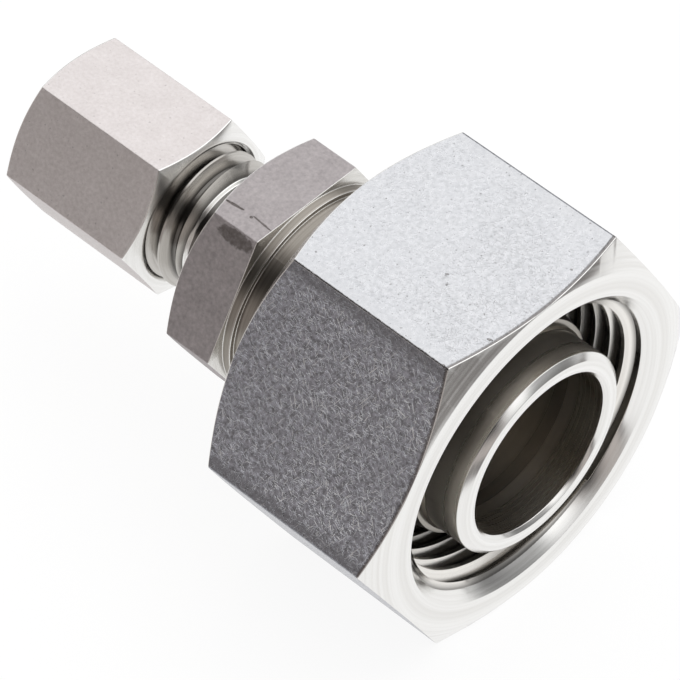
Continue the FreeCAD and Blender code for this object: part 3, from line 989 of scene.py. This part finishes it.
def lay_floor(half):
    """A square plane at the ground, which is scenery and not part of the fitting."""
    corners = [(-half, -half, 0), (half, -half, 0), (half, half, 0), (-half, half, 0)]
    mesh = bpy.data.meshes.new("floor")
    mesh.from_pydata(corners, [], [(0, 1, 2, 3)])
    mesh.materials.append(floor_material())
    floor = bpy.data.objects.new("floor", mesh)
    bpy.context.scene.collection.objects.link(floor)


lay_floor(half=1.5)
print("floor laid at the fitting's lowest flat")

# %% [markdown]
# The room is a soft white tent, bright overhead and behind, and dark on the side that the
# near flats face. That one dark side is what separates the near flats from the top ones.
# A grey screen stands behind the fitting's front, so that the turned faces there aren't
# white all over, and low down and to the left the tent is a little dimmer.

# %% The room
TENT_GLOW = 1.22
NEAR_TINT = (1.0, 0.92, 0.88)
SCREEN_WAY = Vector((0.68, 0.62, 0.38)).normalized()


def tent_light(tree):
    """The tent's tint and brightness in each direction, bright above and behind."""
    way = add(tree, "ShaderNodeTexCoord").outputs["Generated"]
    front, away, up = parts(tree, way)
    below_top = ranged(tree, up, 0.78, 0.97, 1.0, 0.0, smooth=True)
    near = maths(tree, "MULTIPLY", ranged(tree, away, -0.02, -0.34, smooth=True), below_top)
    low = ranged(tree, up, 0.5, 0.25, 0.0, 0.6, smooth=True)
    left = maths(tree, "MULTIPLY", ranged(tree, front, -0.45, -0.8, 0.0, 0.3, smooth=True),
                 ranged(tree, up, 0.55, 0.3, smooth=True))
    aim = add(tree, "ShaderNodeVectorMath", operation="DOT_PRODUCT")
    tree.links.new(way, aim.inputs[0])
    aim.inputs[1].default_value = SCREEN_WAY
    screen = ranged(tree, aim.outputs["Value"], 0.86, 0.96, 1.0, 0.35, smooth=True)
    bright = maths(tree, "MULTIPLY", maths(tree, "SUBTRACT", TENT_GLOW, low, left), screen)
    gloom = ranged(tree, up, 0.12, 0.42, 0.53, 0.03, smooth=True)
    level = maths(tree, "ADD", maths(tree, "MULTIPLY", bright, maths(tree, "SUBTRACT", 1.0, near)),
                  maths(tree, "MULTIPLY", gloom, near))
    return mixed(tree, near, (1.0, 1.0, 1.0), NEAR_TINT), level


def hang_tent():
    """A world that is plain white to the camera and the tent to everything else."""
    world = bpy.data.worlds.new("tent")
    bpy.context.scene.world = world
    world.use_nodes = True
    tree = world.node_tree
    tree.nodes.clear()
    link = tree.links.new
    tint, level = tent_light(tree)
    room = add(tree, "ShaderNodeBackground")
    link(tint, room.inputs["Color"])
    link(level, room.inputs["Strength"])
    seen = add(tree, "ShaderNodeBackground")
    seen.inputs["Color"].default_value = (1, 1, 1, 1)
    blend = either(tree, add(tree, "ShaderNodeLightPath").outputs["Is Camera Ray"], room, seen)
    link(blend.outputs[0], add(tree, "ShaderNodeOutputWorld").inputs[0])


hang_tent()
print("the tent hangs, with a brightness of", TENT_GLOW, "overhead")

# %% [markdown]
# One weak lamp hangs above the fitting and behind it, as a soft box would. It gives the
# rounded edges and the bright flats a little more light than the tent does.

# %% A soft box over the fitting
def soft_box(name, direction, distance_out, size, watts):
    """An area light that looks at the middle of the fitting."""
    lamp = bpy.data.lights.new(name, "AREA")
    lamp.shape = "SQUARE"
    lamp.size = size
    lamp.energy = watts
    holder = bpy.data.objects.new(name, lamp)
    bpy.context.scene.collection.objects.link(holder)
    way = Vector(direction).normalized()
    holder.location = way * distance_out + Vector((0, 0, AXIS_HEIGHT * MM))
    holder.rotation_euler = way.to_track_quat("Z", "Y").to_euler()


soft_box("over_box", direction=(0.2, 0.55, 0.8), distance_out=0.6, size=0.4, watts=0.25)
print("one soft box")

# %% [markdown]
# The camera stands a long way off with a long lens, above the stub's end and to the right.
# Its place was found by matching the corners of the nuts with the photograph.

# %% The camera
CAMERA = {"azimuth": 42.76, "elevation": 48.01, "roll": 1.20, "distance": 407.45,
          "centre": (300.54, 283.72), "focal": 5216.49, "picture": 680}


def place_camera(fit):
    """A camera on the sight line that the fit gives, aimed a little off the axis."""
    side, up, roll = (math.radians(fit[name]) for name in ("azimuth", "elevation", "roll"))
    back = Vector((math.sin(side) * math.cos(up), -math.cos(side) * math.cos(up), math.sin(up)))
    level = Vector((math.cos(side), math.sin(side), 0))
    upright = back.cross(level)
    right = math.cos(roll) * level + math.sin(roll) * upright
    top = -math.sin(roll) * level + math.cos(roll) * upright
    middle = fit["picture"] / 2
    across = (fit["centre"][0] - middle) * fit["distance"] / fit["focal"]
    down = (fit["centre"][1] - middle) * fit["distance"] / fit["focal"]
    spot = (back * fit["distance"] - right * across + top * down + Vector((0, 0, AXIS_HEIGHT))) * MM
    lens = bpy.data.cameras.new("camera")
    lens.sensor_width = 36
    lens.lens = fit["focal"] / fit["picture"] * lens.sensor_width
    lens.clip_start, lens.clip_end = 0.01, 10
    camera = bpy.data.objects.new("camera", lens)
    bpy.context.scene.collection.objects.link(camera)
    turn = Matrix((right, top, back)).transposed().to_4x4()
    camera.matrix_world = Matrix.Translation(spot) @ turn
    bpy.context.scene.camera = camera
    return camera


camera = place_camera(CAMERA)
bpy.context.scene.view_settings.view_transform = "Standard"
print("camera", [round(value, 4) for value in camera.location], "lens", round(camera.data.lens, 1), "mm")
